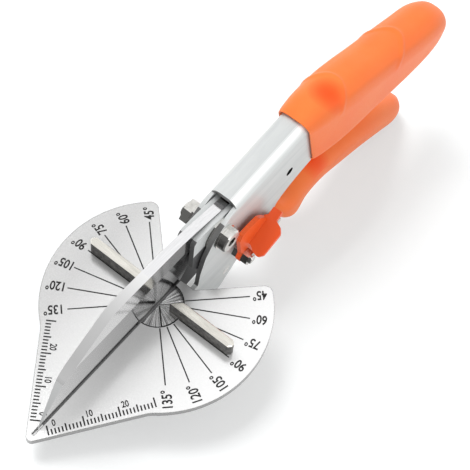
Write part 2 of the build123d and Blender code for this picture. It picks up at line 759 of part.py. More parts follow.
def make_fence(side_name, hand):
    """Foot, bar and rivets of one mitre fence, hand is 1 on the left."""
    foot_radius = window_radius - fence_ring_gap
    flange_radius = seat_radius - fence_ring_gap
    foot_low = -plate_thickness + disc_thickness
    flange_top = -lip_thickness - fence_gap
    apex = foot_edge_clearance * sqrt(2)
    rivet_place = (fence_face + fence_width / 2, hand * (fence_start + fence_rivet_inset))
    far = seat_radius + overrun
    with BuildPart() as foot:
        for radius, top in ((flange_radius, flange_top), (foot_radius, fence_gap)):
            with BuildSketch(plate_top.offset(foot_low)):
                Circle(radius)
                with BuildLine():
                    Polyline((0, hand * apex), (far, hand * (apex + far)),
                             (-far, hand * (apex + far)), (0, hand * apex))
                make_face(mode=Mode.INTERSECT)
            extrude(amount=top - foot_low)
        with BuildSketch(plate_top.offset(foot_low)):
            with Locations(rivet_place):
                Circle(fence_rivet_radius)
        extrude(amount=fence_gap - foot_low, mode=Mode.SUBTRACT)
    foot.part.label = f"fence_foot_{side_name}"
    export_step(foot.part, f"parts/fence_foot_{side_name}.step")
    with BuildPart() as bar:
        back = fence_face + fence_width
        with BuildSketch(plate_top.offset(fence_gap)):
            with BuildLine():
                Polyline((fence_face, hand * fence_start), (fence_face, hand * fence_end),
                         (back, hand * fence_end), (back, hand * (fence_start + fence_width)),
                         close=True)
            make_face()
        extrude(amount=fence_height)
        upright = bar.edges().filter_by(Axis(disc_centre, plate_normal))
        outer_end = [e for e in upright if abs(e.center().Y) > fence_end / 2]
        chamfer(outer_end, fence_end_chamfer)
        top_face = bar.faces().sort_by(Axis(disc_centre, plate_normal))[-1]
        chamfer(top_face.edges(), fence_top_chamfer)
        with BuildSketch(plate_top.offset(fence_gap)):
            with Locations(rivet_place):
                Circle(fence_rivet_radius)
        extrude(amount=fence_rivet_depth, mode=Mode.SUBTRACT)
    bar.part.label = f"fence_bar_{side_name}"
    export_step(bar.part, f"parts/fence_bar_{side_name}.step")
    with BuildPart() as rivet:
        with BuildSketch(plate_top.offset(foot_low)):
            with Locations(rivet_place):
                Circle(fence_rivet_radius)
        extrude(amount=fence_gap - foot_low + fence_rivet_depth)
    rivet.part.label = f"fence_rivet_{side_name}"
    export_step(rivet.part, f"parts/fence_rivet_{side_name}.step")


make_fence("left", 1)
make_fence("right", -1)
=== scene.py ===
# %% [markdown]
# # Mitre shears
# A hand tool that cuts trim at an angle. A straight blade closes on a
# heart-shaped anvil plate, and two fences on the plate set the mitre.
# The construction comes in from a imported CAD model, one object for each piece.
# This notebook gives the pieces their finish, sculpts the two soft grips, prints
# the scales, and sets up the floor, the lights and the camera.

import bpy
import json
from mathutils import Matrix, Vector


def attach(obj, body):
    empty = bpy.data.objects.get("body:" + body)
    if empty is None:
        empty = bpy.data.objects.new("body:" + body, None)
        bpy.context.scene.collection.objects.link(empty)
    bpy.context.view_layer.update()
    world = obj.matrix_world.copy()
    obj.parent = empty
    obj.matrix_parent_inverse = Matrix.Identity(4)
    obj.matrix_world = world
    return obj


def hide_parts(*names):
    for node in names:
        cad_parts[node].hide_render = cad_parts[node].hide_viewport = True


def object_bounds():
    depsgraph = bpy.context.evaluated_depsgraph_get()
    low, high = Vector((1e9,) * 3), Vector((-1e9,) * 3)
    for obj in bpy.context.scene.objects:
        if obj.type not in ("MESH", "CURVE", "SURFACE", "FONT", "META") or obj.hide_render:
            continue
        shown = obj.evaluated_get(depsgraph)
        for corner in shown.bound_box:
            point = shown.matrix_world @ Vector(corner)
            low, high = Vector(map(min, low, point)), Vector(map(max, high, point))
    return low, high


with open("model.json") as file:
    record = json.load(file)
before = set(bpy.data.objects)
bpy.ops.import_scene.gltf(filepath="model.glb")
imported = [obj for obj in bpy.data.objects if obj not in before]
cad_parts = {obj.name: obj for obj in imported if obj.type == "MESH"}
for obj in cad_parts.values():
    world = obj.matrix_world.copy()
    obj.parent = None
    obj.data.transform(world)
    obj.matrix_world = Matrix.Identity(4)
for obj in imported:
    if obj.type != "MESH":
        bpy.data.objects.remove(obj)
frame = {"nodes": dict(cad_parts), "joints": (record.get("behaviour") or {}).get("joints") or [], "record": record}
cad_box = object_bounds()

# %% Modules
import json
from math import cos, exp, hypot, pi, radians, sin

import bmesh
import bpy
from mathutils import Matrix, Vector

print("Blender", bpy.app.version_string)

# %% [markdown]
# ## The tool's own axes
# On a real pair of shears everything is laid out from the disc in the plate,
# where the blade's edge crosses it. World axes would make each number awkward,
# because the tool lies tilted on the bench. So a matrix is made whose X runs
# back to the handles, Y to the left and Z square to the plate, in millimetres.
# The left fence turns about the disc, so its joint gives both centre and axis.

# %% Axes of the tool
swing = next(joint for joint in frame["joints"] if joint["name"] == "fence_left_swing")
disc_centre = Vector(swing["pos_m"])
plate_normal = Vector(swing["axis"]).normalized()
to_left = Vector((0, 1, 0))
to_back = to_left.cross(plate_normal)
tool_turn = Matrix((to_back, to_left, plate_normal)).transposed()
millimetre = 0.001


def at(back, left, up):
    """World point of a place given in the tool's axes, in millimetres."""
    return disc_centre + tool_turn @ (Vector((back, left, up)) * millimetre)


print("disc centre", [round(c, 4) for c in disc_centre])

# %% [markdown]
# ## Finishes
# A finish is a small network of shader nodes. Each one could be drawn by hand
# in the shader editor; here a helper adds a node and sets its sockets, so a
# recipe reads like a list. Noise is taken from object coordinates, which stay
# with a piece when it moves, and needs no unwrapping.

# %% Nodes and wires
plain_colours = list(bpy.data.materials)
for plain_colour in plain_colours:
    bpy.data.materials.remove(plain_colour)


def new_finish(name):
    """Empty material with its principled shader."""
    finish = bpy.data.materials.new(name)
    finish.use_nodes = True
    return finish, finish.node_tree.nodes["Principled BSDF"]


def add_node(finish, kind, values=None, **settings):
    """Shader node with its settings and socket values, in a material or in the world."""
    made = finish.node_tree.nodes.new(kind)
    for key, value in settings.items():
        setattr(made, key, value)
    for key, value in (values or {}).items():
        made.inputs[key].default_value = value
    return made


def wire(finish, out_socket, in_socket):
    """Join two sockets."""
    finish.node_tree.links.new(out_socket, in_socket)


print("removed", len(plain_colours), "plain colours")

# %% Place on a piece, and noise
def object_place(finish, turn_to_tool=False, stretch=(1, 1, 1)):
    """Socket with the place on the piece, in metres, along the tool's axes if wanted."""
    place = add_node(finish, "ShaderNodeTexCoord").outputs["Object"]
    if turn_to_tool:
        to_tool = add_node(finish, "ShaderNodeMapping", vector_type="TEXTURE")
        to_tool.inputs["Location"].default_value = disc_centre
        to_tool.inputs["Rotation"].default_value = tool_turn.to_euler()
        wire(finish, place, to_tool.inputs["Vector"])
        place = to_tool.outputs["Vector"]
    if stretch != (1, 1, 1):
        longer = add_node(finish, "ShaderNodeMapping")
        longer.inputs["Scale"].default_value = stretch
        wire(finish, place, longer.inputs["Vector"])
        place = longer.outputs["Vector"]
    return place


def noise(finish, place, scale, detail=2.0, roughness=0.5):
    """Noise over the piece: scale counts its patches in a metre."""
    made = add_node(finish, "ShaderNodeTexNoise",
                    {"Scale": scale, "Detail": detail, "Roughness": roughness})
    wire(finish, place, made.inputs["Vector"])
    return made.outputs["Fac"]


print("tool's tilt:", [round(c, 4) for c in tool_turn.to_euler()], "radians")

# %% Ramp, relief and maths
def ramp(finish, factor, stops):
    """Colour ramp: stops are (position, colour) pairs, colour a grey or an RGB."""
    made = add_node(finish, "ShaderNodeValToRGB")
    wire(finish, factor, made.inputs["Fac"])
    elements = made.color_ramp.elements
    while len(elements) < len(stops):
        elements.new(0.5)
    for element, (position, colour) in zip(elements, stops):
        rgb = (colour,) * 3 if isinstance(colour, (int, float)) else colour
        element.position, element.color = position, (*rgb, 1)
    return made.outputs["Color"]


def bump(finish, shader, height, depth):
    """Small relief from a height socket, depth in metres."""
    made = add_node(finish, "ShaderNodeBump", {"Strength": 1.0, "Distance": depth})
    wire(finish, height, made.inputs["Height"])
    wire(finish, made.outputs["Normal"], shader.inputs["Normal"])


def math_node(finish, operation, first, second=None):
    """One maths node; an operand is a socket or a number."""
    made = add_node(finish, "ShaderNodeMath", operation=operation)
    for socket, operand in zip(made.inputs, (first, second)):
        if isinstance(operand, (int, float)):
            socket.default_value = operand
        elif operand is not None:
            wire(finish, operand, socket)
    return made.outputs[0]


def mixed(finish, share, under, over):
    """Mix of two colours, each a socket or an RGB: share 0 gives under, 1 gives over."""
    made = add_node(finish, "ShaderNodeMix", data_type="RGBA")
    # The node has sockets for each kind of data: 6, 7 and output 2 are the colours.
    wire(finish, share, made.inputs[0])
    for socket, colour in ((made.inputs[6], under), (made.inputs[7], over)):
        if isinstance(colour, tuple):
            socket.default_value = (*colour, 1)
        else:
            wire(finish, colour, socket)
    return made.outputs[2]


print("node helpers ready")

# %% [markdown]
# ### Metals
# The shears show five metals: bright plated sheet on the handles, a fine satin
# plate, a polished blade with grinding lines across its bevel, fences bright
# on top with painted shade on their sides, and plated screws. The brackets and
# the spring, mostly hidden, are darker. One recipe makes them all: streaks set
# the tone, patches set how polished the skin is, and a shallow relief breaks up
# the reflections.

# %% Recipe for a metal
def metal(name, tones, polish, grain, depth, stretch=(1, 1, 1), metallic=1.0):
    """Metal with streaked tone between two colours, and patchy polish between two roughnesses."""
    finish, shader = new_finish(name)
    shader.inputs["Metallic"].default_value = metallic
    streaks = noise(finish, object_place(finish, turn_to_tool=True, stretch=stretch), grain,
                    detail=4.0, roughness=0.6)
    wire(finish, ramp(finish, streaks, [(0.3, tones[0]), (0.7, tones[1])]),
         shader.inputs["Base Color"])
    handled = noise(finish, object_place(finish), scale=60.0, detail=3.0, roughness=0.6)
    wire(finish, ramp(finish, handled, [(0.3, polish[0]), (0.75, polish[1])]),
         shader.inputs["Roughness"])
    bump(finish, shader, streaks, depth)
    return finish, shader


bright_sheet, sheet_shader = metal(
    "bright_sheet", tones=((0.62, 0.64, 0.64), (0.72, 0.735, 0.73)), polish=(0.44, 0.54),
    grain=320.0, depth=1e-6, stretch=(0.08, 1, 1), metallic=0.62)
plate_steel, plate_shader = metal(
    "plate_steel", tones=((0.58, 0.58, 0.58), (0.67, 0.67, 0.665)), polish=(0.17, 0.24),
    grain=2400.0, depth=8e-7, metallic=0.55)
blade_steel, blade_shader = metal(
    "blade_steel", tones=((0.84, 0.84, 0.85), (0.92, 0.92, 0.93)), polish=(0.09, 0.15),
    grain=1800.0, depth=6e-7, stretch=(0.04, 1, 1))
bracket_steel, _ = metal(
    "bracket_steel", tones=((0.20, 0.20, 0.205), (0.38, 0.38, 0.385)), polish=(0.28, 0.45),
    grain=700.0, depth=5e-6)
fastener_steel, fastener_shader = metal(
    "fastener_steel", tones=((0.62, 0.61, 0.58), (0.80, 0.79, 0.76)), polish=(0.16, 0.34),
    grain=620.0, depth=6e-6)
spring_steel, _ = metal(
    "spring_steel", tones=((0.16, 0.16, 0.17), (0.40, 0.40, 0.41)), polish=(0.20, 0.40),
    grain=900.0, depth=4e-6)
print("metals:", [m.name for m in bpy.data.materials if m.name.endswith(("steel", "sheet"))])

# %% [markdown]
# ### Masks
# Thin gaps on a real tool look black because no light gets into them, and a
# ground bevel looks darker than the polished steel above it. The gap lines are
# under half a millimetre wide, too fine for the lamps to draw in a small
# picture. So the finish knows where they are: comparisons of coordinates, or
# of the way that a face looks, make a mask of zeros and ones, and the mask
# mixes a tone over the metal: painted shade, painted highlight and painted reflection.

# %% Masks by place
def tool_axes(finish):
    """Sockets with the place along the tool's three axes, in metres."""
    made = add_node(finish, "ShaderNodeSeparateXYZ")
    wire(finish, object_place(finish, turn_to_tool=True), made.inputs[0])
    return [made.outputs[name] for name in "XYZ"]


def near(finish, value, middle, reach):
    """One where a socket lies within reach of a number; both in millimetres."""
    compared = math_node(finish, "COMPARE", value, middle * millimetre)
    compared.node.inputs[2].default_value = reach * millimetre
    return compared


def beyond(finish, value, place):
    """One where a socket is above a number in millimetres."""
    return math_node(finish, "GREATER_THAN", value, place * millimetre)


def short_of(finish, value, place):
    """One where a socket is below a number in millimetres."""
    return math_node(finish, "LESS_THAN", value, place * millimetre)


def along_axis(finish, value, low, high):
    """Share from zero to one between two places on an axis, in millimetres."""
    made = add_node(finish, "ShaderNodeMapRange",
                    {"From Min": low * millimetre, "From Max": high * millimetre})
    wire(finish, value, made.inputs["Value"])
    return made.outputs["Result"]


print("masks by place ready")

# %% Masks by the way that a face looks
def true_normal(finish):
    """Socket with the direction in which a face looks."""
    return add_node(finish, "ShaderNodeNewGeometry").outputs["True Normal"]


def facing(finish, direction):
    """How much a face looks along a direction, from -1 to 1."""
    made = add_node(finish, "ShaderNodeVectorMath", operation="DOT_PRODUCT")
    made.inputs[1].default_value = direction
    wire(finish, true_normal(finish), made.inputs[0])
    return made.outputs["Value"]


def looks_along(finish, direction, least):
    """One on faces that look along a direction by at least this much."""
    return math_node(finish, "GREATER_THAN", facing(finish, direction), least)


def sideways(finish, least=0.7):
    """One on faces that look left or right, zero on faces that look up."""
    return math_node(finish, "GREATER_THAN",
                     math_node(finish, "ABSOLUTE", facing(finish, to_left)), least)


def near_edge(finish, reach):
    """One close to a sharp edge: there the rounded normal leaves the true one."""
    rounded = add_node(finish, "ShaderNodeBevel", {"Radius": reach * millimetre}, samples=6)
    agree = add_node(finish, "ShaderNodeVectorMath", operation="DOT_PRODUCT")
    wire(finish, rounded.outputs["Normal"], agree.inputs[0])
    wire(finish, true_normal(finish), agree.inputs[1])
    return math_node(finish, "LESS_THAN", agree.outputs["Value"], 0.985)


print("masks by direction ready")

# %% Masks put together and laid on
def both(finish, first, second):
    """One where two masks are both one."""
    return math_node(finish, "MULTIPLY", first, second)


def elsewhere(finish, mask):
    """One where a mask is zero."""
    return math_node(finish, "SUBTRACT", 1.0, mask)


def overlay(finish, shader, mask, colour):
    """Lays a colour over the finish's own colour where the mask is one."""
    own = shader.inputs["Base Color"]
    wire(finish, mixed(finish, mask, own.links[0].from_socket, colour), own)


# Painted shade for thin gaps and flutes.
gap_shade = (0.03, 0.03, 0.03)
print("overlays ready")

# %% [markdown]
# ### Folded sheet of the handles
# The handles are folded from one bright sheet. Its right-hand bend gets a
# painted highlight, its sheared edges that look forward get painted shade, and
# its inside, which gets hardly any light, gets painted shade too. Each could be
# a material of its own, set face by face by hand. Masks sort the faces by place
# and direction instead.

# %% Painted shade inside the handles
sheet_x, sheet_y, sheet_z = tool_axes(bright_sheet)
channel_front, cheek_back, cheek_top, half_inside = 30.0, 24.0, 14.5, 3.45
in_channel = both(bright_sheet, beyond(bright_sheet, sheet_x, channel_front),
                  beyond(bright_sheet, sheet_z, 0.0))
low_cheek = both(bright_sheet, short_of(bright_sheet, sheet_x, cheek_back),
                 short_of(bright_sheet, sheet_z, cheek_top))
shaded_inside = both(bright_sheet, near(bright_sheet, sheet_y, 0.0, half_inside),
              math_node(bright_sheet, "MAXIMUM", in_channel, low_cheek))
not_top = elsewhere(bright_sheet, looks_along(bright_sheet, plate_normal, 0.5))
# Painted shade: the inside of the channel and of the low cheeks is painted near black.
overlay(bright_sheet, sheet_shader, both(bright_sheet, shaded_inside, not_top), (0.09, 0.09, 0.092))
print("sheet: dark within", half_inside, "mm of its middle")

# %% Painted highlight on the bend, painted shade on edges and hole
# Painted highlight: faces of the right-hand bend are painted near white.
bend = ramp(bright_sheet, facing(bright_sheet, -to_left),
            [(0.12, 0.0), (0.38, 1.0), (0.62, 1.0), (0.90, 0.0)])
overlay(bright_sheet, sheet_shader, bend, (0.97, 0.985, 0.98))
# Painted shade: faces that look forward, the sheared edges among them, are painted dark.
forward_edge_shade = looks_along(bright_sheet, -to_back, 0.5)
overlay(bright_sheet, sheet_shader, forward_edge_shade, (0.16, 0.16, 0.16))
hole_x, hole_z, hole_reach = 54.5, 9.9, 1.7
at_hole = both(bright_sheet, near(bright_sheet, sheet_x, hole_x, hole_reach),
               near(bright_sheet, sheet_z, hole_z, hole_reach))
# Painted shade: the bore of the cross hole is painted near black.
bore_shade = both(bright_sheet, at_hole, elsewhere(bright_sheet, sideways(bright_sheet)))
overlay(bright_sheet, sheet_shader, bore_shade, (0.02, 0.02, 0.02))
print("sheet: bright right-hand bend, dark edges and bore")

# %% [markdown]
# ### Anvil plate
# The plate is satin steel. It is painted paler beside the blade and on the
# right, as painted reflection of the pale room, so its left lobe is a little
# darker. Its sides and a line along its edges are painted darker as painted
# shade, and the groove for the blade and the rim of the disc's window are in
# painted shade. The groove and the window are cut in the CAD model. The masks
# only give them their tone, which lamps would give at a larger scale.

# %% Tones of the plate
plate_x, plate_y, plate_z = tool_axes(plate_steel)
satin = noise(plate_steel, object_place(plate_steel), scale=2400.0, detail=4.0, roughness=0.6)
# Painted reflection: the plate is painted paler from its left lobe in to beside the blade.
paler = ramp(plate_steel, satin, [(0.3, 0.90), (0.7, 0.96)])
lobe_left, lobe_middle = 24.0, 2.0
overlay(plate_steel, plate_shader, along_axis(plate_steel, plate_y, lobe_left, lobe_middle), paler)
# Painted shade: the plate's sides are painted darker.
plate_side_shade = elsewhere(plate_steel, looks_along(plate_steel, plate_normal, 0.5))
overlay(plate_steel, plate_shader, plate_side_shade, (0.34, 0.34, 0.34))
# Painted shade: a dark line is painted along the plate's edges.
edge_shade_reach = 0.30
overlay(plate_steel, plate_shader, near_edge(plate_steel, edge_shade_reach), (0.20, 0.20, 0.20))
print("plate: paler from", lobe_left, "to", lobe_middle, "mm left of the blade")

# %% Groove and window of the plate
groove_half, groove_middle, groove_depth, groove_front = 0.46, -0.47, 0.44, -48.0
in_groove = both(plate_steel, near(plate_steel, plate_y, 0.0, groove_half),
                 near(plate_steel, plate_z, groove_middle, groove_depth))
under_blade = beyond(plate_steel, plate_x, groove_front)
overlay(plate_steel, plate_shader, both(plate_steel, in_groove, under_blade), (0.20, 0.20, 0.20))
out_squared = math_node(plate_steel, "ADD", math_node(plate_steel, "MULTIPLY", plate_x, plate_x),
                        math_node(plate_steel, "MULTIPLY", plate_y, plate_y))
out_from_disc = math_node(plate_steel, "SQRT", out_squared)
window_radius, rim_reach = 7.5, 0.32
overlay(plate_steel, plate_shader, near(plate_steel, out_from_disc, window_radius, rim_reach),
        (0.03, 0.03, 0.032))
print("plate: window rim at", window_radius, "mm")

# %% [markdown]
# ### Blade
# The ground bevel is painted darker towards the disc, a painted reflection of
# the shaded parts of the tool. The flat flank gets painted reflection in a similar
# way, and the front of the polished back, the nose, is painted darker. A plain
# mirror could show all this, but it would change with every room. Ramps along
# the blade carry the painted reflection, so it is there under any lamps.

# %% Painted reflection along the blade
blade_x, _, _ = tool_axes(blade_steel)
blade_front, blade_back, nose_back = -50.0, 20.0, -6.0
down_blade = along_axis(blade_steel, blade_x, blade_front, blade_back)
bevel_reflection = ramp(blade_steel, down_blade,
                  [(0.0, 0.70), (0.25, 0.42), (0.45, 0.26), (0.58, 0.20), (0.72, 0.17), (1.0, 0.08)])
overlay(blade_steel, blade_shader, sideways(blade_steel), bevel_reflection)
flank_reflection = ramp(blade_steel, down_blade,
                  [(0.0, 0.70), (0.5, 0.82), (0.62, 0.45), (0.75, 0.15), (1.0, 0.08)])
overlay(blade_steel, blade_shader, sideways(blade_steel, 0.9985), flank_reflection)
nose_reflection = ramp(blade_steel, along_axis(blade_steel, blade_x, blade_front, nose_back),
                 [(0.0, 0.36), (0.21, 0.44), (0.24, 0.52), (0.35, 0.49), (0.6, 0.56), (0.8, 0.72),
                  (1.0, 0.90)])
nose = both(blade_steel, short_of(blade_steel, blade_x, nose_back),
            elsewhere(blade_steel, sideways(blade_steel)))
overlay(blade_steel, blade_shader, nose, nose_reflection)
print("blade: tones run from", blade_front, "to", blade_back, "mm")

# %% [markdown]
# ### Screws
# Bolt, nuts and latch stud are bright plated. Their flats that look forward
# mirror the shaded side of the plate and not the lamps. Darker nuts would be
# wrong from behind, so the mask takes only the forward flats.

# %% Dark fronts of the screws
fastener_front = looks_along(fastener_steel, -to_back, 0.35)
overlay(fastener_steel, fastener_shader, fastener_front, (0.10, 0.098, 0.094))
print("screws: dark towards the front")

# %% [markdown]
# ### Fence bars
# The bars' tops are bright steel, and their sides carry painted shade, a dark
# tone with patches. Two materials on two sets of faces would need the mesh to
# be split by hand. The face normal does it in one: where it points along the
# tool's Z, the face keeps the bright steel, and elsewhere it gets the painted shade.

# %% Finish of the fences
fence_steel, fence_shader = metal(
    "fence_steel", tones=((0.70, 0.68, 0.62), (0.86, 0.84, 0.78)), polish=(0.18, 0.34),
    grain=700.0, depth=6e-6, stretch=(1, 0.15, 1))
# Painted shade: faces that don't look up are painted dark, with patches; faces that look up keep the bright tone.
lit_top = ramp(fence_steel, facing(fence_steel, plate_normal), [(0.25, 0.0), (0.45, 1.0)])
side_patches = noise(fence_steel, object_place(fence_steel), scale=700.0, detail=5.0, roughness=0.65)
side_shade = ramp(fence_steel, side_patches,
                 [(0.3, (0.055, 0.054, 0.053)), (0.75, (0.24, 0.235, 0.225))])
bright_tone = fence_shader.inputs["Base Color"].links[0].from_socket
wire(fence_steel, mixed(fence_steel, lit_top, side_shade, bright_tone),
     fence_shader.inputs["Base Color"])
wire(fence_steel, ramp(fence_steel, lit_top, [(0.0, 0.60), (1.0, 0.26)]),
     fence_shader.inputs["Roughness"])
print("fences: ground tops, dark sides")

# %% [markdown]
# ### Turned disc
# The disc's face is turned and fluted, and the fan of light and dark rays that it
# throws is painted into its colour as painted highlight and painted shade. The
# angle round the disc centre is an arctangent of two coordinates. A noise read
# along that angle alone gives rays of uneven width, and thin lines of painted
# shade at even steps are the flutes. The feet of the fences share this finish,
# and a mask paints shade on the slanted edges where they end on the disc.

# %% Painted highlight and shade of the disc's rays and flutes
disc_steel, disc_shader = new_finish("disc_steel")
disc_shader.inputs["Metallic"].default_value = 1.0
disc_x, disc_y, disc_z = tool_axes(disc_steel)
turn = math_node(disc_steel, "ARCTAN2", disc_y, disc_x)
sheen_rays = add_node(disc_steel, "ShaderNodeTexNoise",
                {"Scale": 5.5, "Detail": 5.0, "Roughness": 0.75}, noise_dimensions="1D")
wire(disc_steel, turn, sheen_rays.inputs["W"])
sheen_ray = sheen_rays.outputs[0]
wire(disc_steel, ramp(disc_steel, sheen_ray, [(0.33, 0.08), (0.40, 0.50), (0.50, 0.97)]),
     disc_shader.inputs["Base Color"])
wire(disc_steel, ramp(disc_steel, sheen_ray, [(0.3, 0.42), (0.7, 0.16)]), disc_shader.inputs["Roughness"])
bump(disc_steel, disc_shader, sheen_ray, 6e-5)
flute_count, flute_share = 36, 0.055
flutes_round = math_node(disc_steel, "MULTIPLY", turn, flute_count / (2 * pi))
flute_shade = math_node(disc_steel, "COMPARE", math_node(disc_steel, "FRACT", flutes_round), 0.5)
flute_shade.node.inputs[2].default_value = flute_share
overlay(disc_steel, disc_shader, flute_shade, gap_shade)
print("disc:", flute_count, "flutes")

# %% Painted shade lines round the fence feet
foot_apex, line_reach = 0.85, 0.22
# Painted shade: dark lines where the feet's slanted edges meet the disc, and in the cut under the blade's edge.
out_x, out_y = (math_node(disc_steel, "ABSOLUTE", axis) for axis in (disc_x, disc_y))
off_diagonal = math_node(disc_steel, "SUBTRACT", out_y, out_x)
overlay(disc_steel, disc_shader, near(disc_steel, off_diagonal, foot_apex, line_reach), gap_shade)
cut_half, cut_middle, cut_depth = 0.5, -1.2, 0.3
under_edge_shade = both(disc_steel, near(disc_steel, disc_y, 0.0, cut_half),
                  near(disc_steel, disc_z, cut_middle, cut_depth))
overlay(disc_steel, disc_shader, under_edge_shade, (0.16, 0.16, 0.16))
print("feet: lines", 2 * line_reach, "mm wide")

# %% [markdown]
# ### Soft grips and the coated latch
# The grips are dipped in soft vinyl, glossy with a fine orange-peel skin, and
# slightly see-through at the edges, which a little subsurface light gives. The
# latch is powder coated: harder, redder, with a finer and sharper peel and
# paler rubbed patches. Light that bounces off them onto the paper is toned
# down, as a studio does with a card, so that the shadows stay grey.

# %% Recipe for a coating
def coating(name, tones, polish, peel, depth, specular, glow=0.0):
    """Glossy coloured skin with orange peel."""
    finish, shader = new_finish(name)
    cloud = noise(finish, object_place(finish), scale=45.0, detail=3.0, roughness=0.55)
    wire(finish, ramp(finish, cloud, [(0.3, tones[0]), (0.7, tones[1])]), shader.inputs["Base Color"])
    skin = noise(finish, object_place(finish), peel, detail=3.0, roughness=0.6)
    wire(finish, ramp(finish, skin, [(0.3, polish[0]), (0.7, polish[1])]), shader.inputs["Roughness"])
    bump(finish, shader, skin, depth)
    shader.inputs["Specular IOR Level"].default_value = specular
    if glow:
        shader.inputs["Subsurface Weight"].default_value = glow
        shader.inputs["Subsurface Radius"].default_value = (1.0, 0.35, 0.12)
        shader.inputs["Subsurface Scale"].default_value = 0.0012
    return finish, shader


orange_grip, grip_shader = coating(
    "orange_grip", tones=((1.0, 0.180, 0.034), (1.0, 0.220, 0.050)), polish=(0.40, 0.50),
    peel=1400.0, depth=6e-6, specular=0.35, glow=0.06)
orange_coat, coat_shader = coating(
    "orange_coat", tones=((1.0, 0.105, 0.014), (1.0, 0.135, 0.022)), polish=(0.34, 0.44),
    peel=2600.0, depth=5e-6, specular=0.40)
print("coatings:", orange_grip.name, orange_coat.name)

# %% Thumb dish and bounced light
# The thumb dish gets painted shade, a deeper orange that fades with the squared
# distance from its middle, and is gone at 40 square millimetres.
thumb_x, thumb_y, dish_area = 73.5, -1.8, 40.0
grip_x, grip_y, _ = tool_axes(orange_grip)
squares = [math_node(orange_grip, "POWER",
                     math_node(orange_grip, "SUBTRACT", place, middle * millimetre), 2.0)
           for place, middle in ((grip_x, thumb_x), (grip_y, thumb_y))]
out_of_dish = math_node(orange_grip, "MULTIPLY", math_node(orange_grip, "ADD", *squares),
                        1 / (dish_area * millimetre ** 2))
dish_shade = ramp(orange_grip, out_of_dish, [(0.0, 0.85), (0.4, 0.45), (1.0, 0.0)])
on_top = looks_along(orange_grip, plate_normal, 0.3)
overlay(orange_grip, grip_shader, both(orange_grip, dish_shade, on_top), (1.0, 0.070, 0.004))
for finish, shader in ((orange_grip, grip_shader), (orange_coat, coat_shader)):
    bounced = add_node(finish, "ShaderNodeLightPath").outputs["Is Diffuse Ray"]
    overlay(finish, shader, bounced, (0.56, 0.37, 0.31))
print("thumb dish: deeper orange around", (thumb_x, thumb_y), "mm")

# %% [markdown]
# ### Every CAD piece gets its finish
# The record names a material slot for each node. Materials of the same names
# are put on the imported meshes, whose shapes stay as they are.

# %% Dress the CAD pieces
finish_of_slot = {finish.name: finish for finish in (
    bright_sheet, plate_steel, blade_steel, bracket_steel, fastener_steel,
    spring_steel, fence_steel, disc_steel, orange_grip, orange_coat)}
slot_of_node = {entry["node"]: entry["material_slot"] for entry in frame["record"]["subparts"]}
for name, piece in frame["nodes"].items():
    piece.data.materials.clear()
    piece.data.materials.append(finish_of_slot[slot_of_node[name]])
print("dressed", len(slot_of_node), "CAD pieces")

# %% [markdown]
# ## Soft grips
# A vinyl grip is a sleeve that follows the folded sheet inside, with a dish
# for the thumb, a longer dish for the palm, and raised ridges behind both. It
# could be sculpted by hand. Here it is lofted in code: a table gives the top
# and bottom of each section, its width and its corner; a smooth curve fills in
# the rings between; and each ring is a rounded rectangle. The dishes and
# ridges are then pressed in by moving the points along their own normals.

# %% Tables of the grips' sections
# A row is a section, in shares of a hand's reach of 100 millimetres: its top's
# place back and up, its bottom's place back and up, its width and its corner.
hand_reach = 100.0
upper_grip_shares = [
    (0.594, 0.276, 0.668, 0.014, 0.116, 0.040),
    (0.618, 0.280, 0.682, 0.008, 0.128, 0.050),
    (0.680, 0.283, 0.722, -0.006, 0.144, 0.064),
    (0.780, 0.268, 0.790, -0.024, 0.158, 0.074),
    (0.880, 0.240, 0.870, -0.041, 0.160, 0.075),
    (0.990, 0.203, 0.955, -0.056, 0.158, 0.074),
    (1.100, 0.166, 1.060, -0.074, 0.158, 0.073),
    (1.220, 0.124, 1.170, -0.093, 0.158, 0.073),
    (1.330, 0.088, 1.280, -0.106, 0.152, 0.070),
    (1.396, 0.046, 1.356, -0.103, 0.136, 0.062),
    (1.426, 0.008, 1.406, -0.084, 0.104, 0.046),
    (1.440, -0.018, 1.434, -0.056, 0.050, 0.018),
]
lower_grip_shares = [
    (0.530, -0.100, 0.538, -0.158, 0.086, 0.026),
    (0.546, -0.082, 0.564, -0.206, 0.128, 0.052),
    (0.590, -0.074, 0.606, -0.232, 0.144, 0.060),
    (0.660, -0.076, 0.660, -0.208, 0.130, 0.058),
    (0.760, -0.088, 0.748, -0.212, 0.122, 0.054),
    (0.880, -0.120, 0.860, -0.250, 0.122, 0.054),
    (1.000, -0.158, 0.975, -0.290, 0.126, 0.056),
    (1.120, -0.214, 1.095, -0.342, 0.128, 0.057),
    (1.208, -0.270, 1.190, -0.384, 0.126, 0.055),
    (1.258, -0.308, 1.244, -0.393, 0.102, 0.042),
    (1.286, -0.338, 1.281, -0.377, 0.050, 0.019),
]
print("sections:", len(upper_grip_shares), "and", len(lower_grip_shares))

# %% Smooth curve through the sections
def filled_in(rows, steps):
    """Rows of a table with smooth rows between them, on a curve through all."""
    made = []
    for i in range(len(rows) - 1):
        before = rows[max(i - 1, 0)]
        start, end = rows[i], rows[i + 1]
        after = rows[min(i + 2, len(rows) - 1)]
        for step in range(steps):
            t = step / steps
            made.append([0.5 * (2 * b + (c - a) * t + (2 * a - 5 * b + 4 * c - d) * t * t
                                + (3 * b - a - 3 * c + d) * t ** 3)
                         for a, b, c, d in zip(before, start, end, after)])
    return made + [list(rows[-1])]


rings_between = 22
print("rings:", len(filled_in(upper_grip_shares, rings_between)))

# %% Rounded ring
least_corner = 0.01


